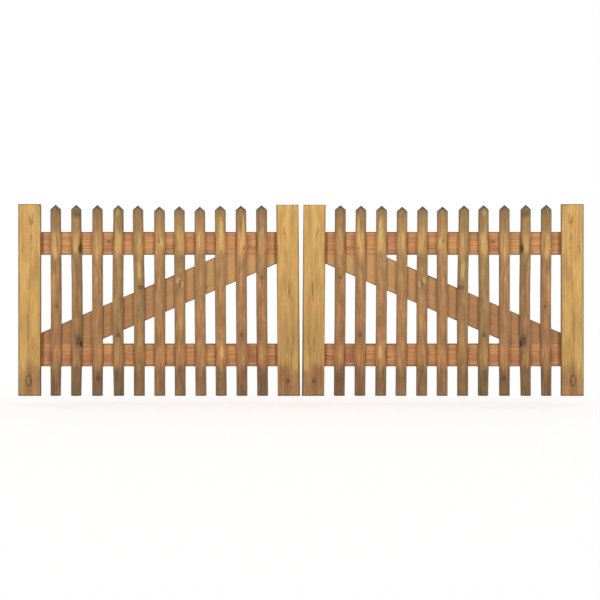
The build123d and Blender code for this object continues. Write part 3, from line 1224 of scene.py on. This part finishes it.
# Painted light and shade on the flanks: the outer flank paler olive, the inner darker grey, and where a rail
# backs them a painted reflection of its red, dark outside and orange inside.
flank = mix(tree, backed, (0.45, 0.360, 0.230), (0.25, 0.085, 0.034))
colour = dab(tree, soft_step(tree, turn, -0.50, -0.95), 0.50, colour, flank)
flank = mix(tree, backed, (0.37, 0.270, 0.160), (0.66, 0.325, 0.135))
colour = dab(tree, soft_step(tree, turn, 0.45, 0.90), 0.50, colour, flank)
ragged_top = plus(tree, along, about_zero(tree, weathered["Streak"], 0.06))
ragged_top = plus(tree, ragged_top, about_zero(tree, weathered["Blotch"], 0.05))
colour = tinted(tree, soft_step(tree, ragged_top, 0.925, 0.98), colour, (0.66, 0.73, 0.80))
dark = patches_on(tree, across, along, [
    (0.302, 0.950, 0.022, 0.028), (0.324, 0.790, 0.010, 0.055), (0.3145, 0.289, 0.022, 0.044),
    (0.323, 0.205, 0.007, 0.050), (0.640, 0.565, 0.030, 0.016), (1.176, 0.770, 0.007, 0.012),
    (0.735, 0.806, 0.005, 0.014)])
colour = dab(tree, dark, 0.60, colour, stain)
black = patches_on(tree, across, along, [
    (0.3205, 0.768, 0.010, 0.038), (0.326, 0.272, 0.008, 0.026)])
colour = dab(tree, black, 0.85, colour, (0.045, 0.026, 0.018))
# Darker towards the foot by each picket's own amount, less on its flanks.
foot_dark = times(tree, weathered["Foot"], attribute(tree, "foot_dark"))
foot_dark = times(tree, foot_dark, soft_step(tree, flat_turn, 0.5, 0.95, 1.0, 0.55))
colour = tinted(tree, foot_dark, colour, (0.58, 0.64, 0.76))
colour = dab(tree, soft_step(tree, along, 0.008, 0.002), 0.6, colour, palette["rim"])
colour = shaded(tree, colour, attribute(tree, "tone"))
sawn = soft_step(tree, flat_turn, 0.9, 0.2, 0.45, 0.92)
finish_wood(picket_wood, palette, colour, weathered, grown, knotted, sawn)
print("finish", picket_wood.name)

# %% [markdown]
# ## Galvanised steel
# Straps, pintles and screws are dipped in zinc, which freezes in crystals a centimetre across. A cell
# pattern gives each crystal its own grey, and a cloud dulls it.

# %% Finish: hinges
hinge_steel, tree = new_material("zinc_coat")
object_place = put(tree, "TexCoord").outputs["Object"]
cells = put(tree, "TexVoronoi", {"Vector": object_place, "Scale": 110.0}).outputs["Color"]
crystal = put(tree, "SeparateColor", {0: cells}).outputs[0]
dull = put(tree, "TexNoise", {"Vector": object_place, "Scale": 45.0, "Detail": 4.0}).outputs["Fac"]
grey = mix(tree, crystal, (0.40, 0.41, 0.42), (0.58, 0.59, 0.60))
grey = mix(tree, soft_step(tree, dull, 0.5, 0.8, 0.0, 0.6), grey, (0.62, 0.63, 0.62))
shader = tree.nodes["Principled BSDF"]
shader.inputs["Metallic"].default_value = 0.9
tree.links.new(grey, shader.inputs["Base Color"])
tree.links.new(soft_step(tree, dull, 0.3, 0.7, 0.38, 0.62), shader.inputs["Roughness"])
ripple = put(tree, "Bump", {"Strength": 0.2, "Distance": 0.0004, "Height": dull}).outputs["Normal"]
tree.links.new(ripple, shader.inputs["Normal"])
print("finish", hinge_steel.name)

# %% [markdown]
# ## Give every piece its finish
# New timber takes the place of its solid, which is hidden, and rides on its leaf. Screws ride on their
# leaf and hide nothing. The hinge solids have the right shape already, so they only get the zinc. Each
# leaf's pieces go on the list that its lamps shine on.

# %% Dress the leaves
finishes = {"stile": stile_wood, "rail": rail_wood, "brace": brace_wood, "picket": picket_wood}
lit = {}
for leaf, pieces, screws in (("left", timber, fixings), ("right", right_timber, right_fixings)):
    lit[leaf] = []
    for name, piece in pieces.items():
        kind = next(word for word in finishes if word in name)
        piece.data.materials.clear()
        piece.data.materials.append(finishes[kind])
        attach(piece, f"{leaf}_leaf")
        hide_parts(f"{leaf}_{name}")
        lit[leaf].append(piece)
    for piece in screws.values():
        piece.data.materials.clear()
        piece.data.materials.append(hinge_steel)
        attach(piece, f"{leaf}_leaf")
        lit[leaf].append(piece)
for name, solid in frame["nodes"].items():
    if name.endswith(("strap", "pintle")):
        solid.data.materials.clear()
        solid.data.materials.append(hinge_steel)
        lit[name.split("_")[0]].append(solid)
print("dressed", len(timber) + len(right_timber), "timbers")

# %% [markdown]
# ## Keep the lamps on their own leaf
# Light linking names the objects that a lamp shines on. The floor is on no list, so it stays evenly pale.

# %% Light links


def shine_on(lamps, pieces, name):
    """Lets lamps light only some pieces."""
    group = bpy.data.collections.new(name)
    for piece in pieces:
        group.objects.link(piece)
    for lamp in lamps:
        lamp.light_linking.receiver_collection = group


for leaf, pieces in lit.items():
    shine_on(leaf_lamps[leaf], pieces, f"{leaf}_lit")
shine_on([back_lamp], lit["left"] + lit["right"], "gate_lit")
print({leaf: len(pieces) for leaf, pieces in lit.items()})

# %% [markdown]
# The box of the dressed gate is printed, as the box of the solids was at the start. The dressed gate
# has to stay inside the box of the solids.

# %% Write the sizes
low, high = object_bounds()
print("visual", [round(v * 1000, 1) for v in high - low], "mm")
